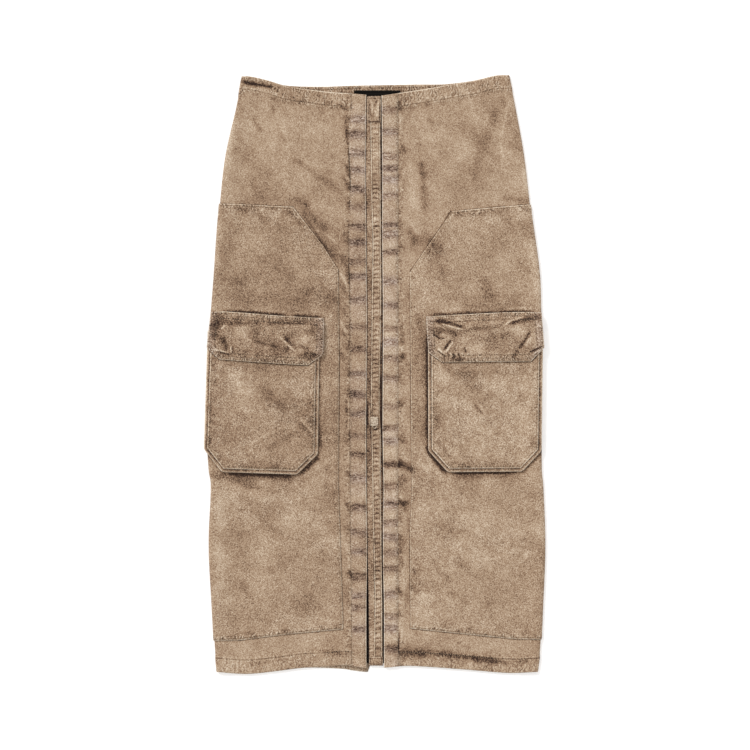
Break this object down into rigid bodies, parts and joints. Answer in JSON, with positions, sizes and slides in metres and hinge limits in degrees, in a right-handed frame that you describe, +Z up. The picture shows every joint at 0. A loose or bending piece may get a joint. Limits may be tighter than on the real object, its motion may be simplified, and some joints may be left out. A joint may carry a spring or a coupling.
{
  "type": "cargo utility skirt",
  "caption": "Long straight skirt in washed canvas laid flat, with double fronts, bellows cargo pockets with flaps and a laddered centre front closure.",
  "frame": {"origin": "on the table below the middle of the skirt, bounding-box bottom centre", "axes": "+Z up from the table, +Y towards the waist, +X to the viewer's right"},
  "size_m": [0.4772, 0.8382, 0.0149],
  "materials": {
    "canvas": "washed mottled beige-brown canvas",
    "worn_canvas": "washed canvas, speckled and paler",
    "placket_canvas": "washed canvas, darker in its drawn-in lines",
    "label_cloth": "plain black woven tape",
    "tape_cloth": "matt black woven tape",
    "slider_metal": "pale overdyed metal, satin"
  },
  "bodies": {
    "root": {"back_left": "canvas", "back_right": "canvas", "back_facing": "canvas", "label": "label_cloth", "front_left": "canvas", "front_right": "canvas", "overlay_left": "worn_canvas", "overlay_right": "worn_canvas", "placket_left": "placket_canvas", "placket_right": "placket_canvas", "zip_tape": "tape_cloth", "zip_guard": "placket_canvas", "guard_strip": "placket_canvas", "guard_top_tab": "placket_canvas", "guard_bottom_tab": "placket_canvas", "zip_slider": "slider_metal", "gusset_left_inner": "canvas", "gusset_left_bottom": "canvas", "gusset_left_outer": "canvas", "gusset_right_inner": "canvas", "gusset_right_bottom": "canvas", "gusset_right_outer": "canvas", "pocket_face_left": "worn_canvas", "pocket_face_right": "worn_canvas", "flap_left": "canvas", "flap_right": "canvas"}
  },
  "joints": []
}
